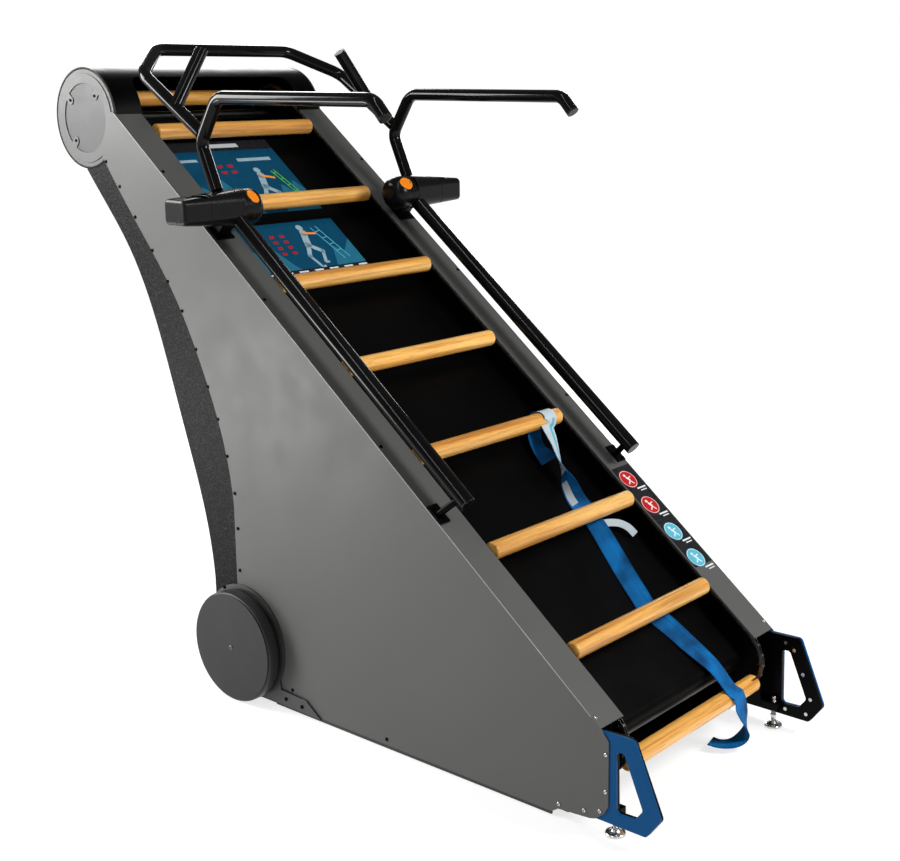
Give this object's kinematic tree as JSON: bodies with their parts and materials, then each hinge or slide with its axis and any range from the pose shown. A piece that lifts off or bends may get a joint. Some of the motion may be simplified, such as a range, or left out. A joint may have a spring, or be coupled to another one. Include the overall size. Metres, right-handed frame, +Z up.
{
  "type": "vertical climber machine",
  "caption": "Free-standing gym climber: sloping endless ladder of wooden rungs between grey side panels, with handlebars, cup holders, lift handles and rear wheels.",
  "frame": {"origin": "bottom centre of the overall box, on the floor", "axes": "+X to the user's right, +Y from the low end to the high end, the way the user faces, +Z up"},
  "size_m": [0.956, 1.9416, 1.628],
  "materials": {
    "satin_grey": "satin paint",
    "black_steel": "satin black paint",
    "black_texture": "textured black powder coat",
    "black_rubber": "plain",
    "print_blue": "plain",
    "print_black": "plain",
    "zinc": "zinc plated",
    "wood": "clear varnish",
    "cast_grey": "plain",
    "alu": "plain",
    "tyre": "plain",
    "plastic_grey": "plain",
    "blue_steel": "satin blue paint",
    "gloss_black": "gloss black paint",
    "black_plastic": "plain",
    "orange_plastic": "plain",
    "blue_webbing": "plain"
  },
  "bodies": {
    "frame": {"side_panel_left": "satin_grey", "side_panel_right": "satin_grey", "inner_guards": "black_steel", "base_rails": "black_steel", "base_skids": "black_rubber", "base_crossbars": "black_steel", "ladder_rails": "black_steel", "rear_posts": "black_steel", "deck_crossbars": "black_steel", "deck": "black_steel", "bottom_pan": "black_steel", "rear_cover": "black_texture", "drum_cover": "black_steel", "drum_rings": "satin_grey", "drum_discs": "cast_grey", "deck_graphic": "print_blue", "flange_label": "print_black", "screws": "zinc", "chains": "black_steel", "bearings": "cast_grey", "brake_belt": "black_rubber", "brake_mount": "cast_grey", "wheel_plates": "satin_grey", "handle_trims": "blue_steel", "handle_plates": "black_steel", "front_bars": "gloss_black", "rear_bar": "gloss_black", "end_plugs": "black_plastic", "side_rails": "gloss_black", "rail_stands": "black_steel", "consoles": "black_plastic", "badges": "orange_plastic", "cup_holders": "black_plastic", "console_mounts": "black_steel"},
    "front_run": {"rungs_front": "wood", "rung_pins_front": "zinc", "strap": "blue_webbing"},
    "return_run": {"rungs_return": "wood", "rung_pins_return": "zinc"},
    "upper_drive": {"upper_shaft": "zinc", "upper_sprockets": "black_steel", "brake_pulley": "alu", "rung_01": "wood", "rung_01_pins": "zinc"},
    "lower_drive": {"lower_shaft": "zinc", "lower_sprockets": "black_steel", "rung_09": "wood", "rung_09_pins": "zinc"},
    "brake_rotor": {"brake_rotor": "alu"},
    "wheel_left": {"wheel_tyre_left": "tyre", "wheel_hub_left": "plastic_grey", "wheel_cover_left": "plastic_grey"},
    "wheel_right": {"wheel_tyre_right": "tyre", "wheel_hub_right": "plastic_grey", "wheel_cover_right": "plastic_grey"},
    "foot_left": {"foot_left": "zinc"},
    "foot_right": {"foot_right": "zinc"},
    "strap_tail": {"strap_tail": "blue_webbing"}
  },
  "joints": [
    {"name": "ladder_travel", "type": "slide", "parent": "frame", "child": "front_run", "axis": [0, -0.7848, -0.6198], "range_m": [0, 0.125]},
    {"name": "return_travel", "type": "slide", "parent": "frame", "child": "return_run", "axis": [0, 0.7848, 0.6198], "range_m": [0, 0.13]},
    {"name": "upper_shaft_turn", "type": "hinge", "parent": "frame", "child": "upper_drive", "pos_m": [0, 0.84014, 1.43922], "axis": [1, 0, 0], "range_deg": [0, 92]},
    {"name": "lower_shaft_turn", "type": "hinge", "parent": "frame", "child": "lower_drive", "pos_m": [0, -0.76133, 0.17446], "axis": [1, 0, 0], "range_deg": [0, 92]},
    {"name": "brake_turn", "type": "hinge", "parent": "frame", "child": "brake_rotor", "pos_m": [0.32, 0.61906, 1.21111], "axis": [1, 0, 0], "range_deg": [0, 200]},
    {"name": "strap_swing", "type": "hinge", "parent": "front_run", "child": "strap_tail", "pos_m": [0.05, -0.6808, 0.34], "axis": [1, 0, 0], "range_deg": [-12, 0]},
    {"name": "wheel_left_spin", "type": "hinge", "parent": "frame", "child": "wheel_left", "pos_m": [-0.38, 0.2892, 0.142], "axis": [1, 0, 0], "continuous": true},
    {"name": "wheel_right_spin", "type": "hinge", "parent": "frame", "child": "wheel_right", "pos_m": [0.38, 0.2892, 0.142], "axis": [1, 0, 0], "continuous": true},
    {"name": "foot_left_adjust", "type": "slide", "parent": "frame", "child": "foot_left", "axis": [0, 0, 1], "range_m": [0, 0.01]},
    {"name": "foot_right_adjust", "type": "slide", "parent": "frame", "child": "foot_right", "axis": [0, 0, 1], "range_m": [0, 0.01]}
  ],
  "couplings": [
    {"joint": "return_travel", "follows": "ladder_travel", "ratio": 1},
    {"joint": "upper_shaft_turn", "follows": "ladder_travel", "rad_per_m": 12.5},
    {"joint": "lower_shaft_turn", "follows": "ladder_travel", "rad_per_m": 12.5},
    {"joint": "brake_turn", "follows": "ladder_travel", "rad_per_m": 26.923},
    {"joint": "strap_swing", "follows": "ladder_travel", "rad_per_m": -1.4}
  ]
}
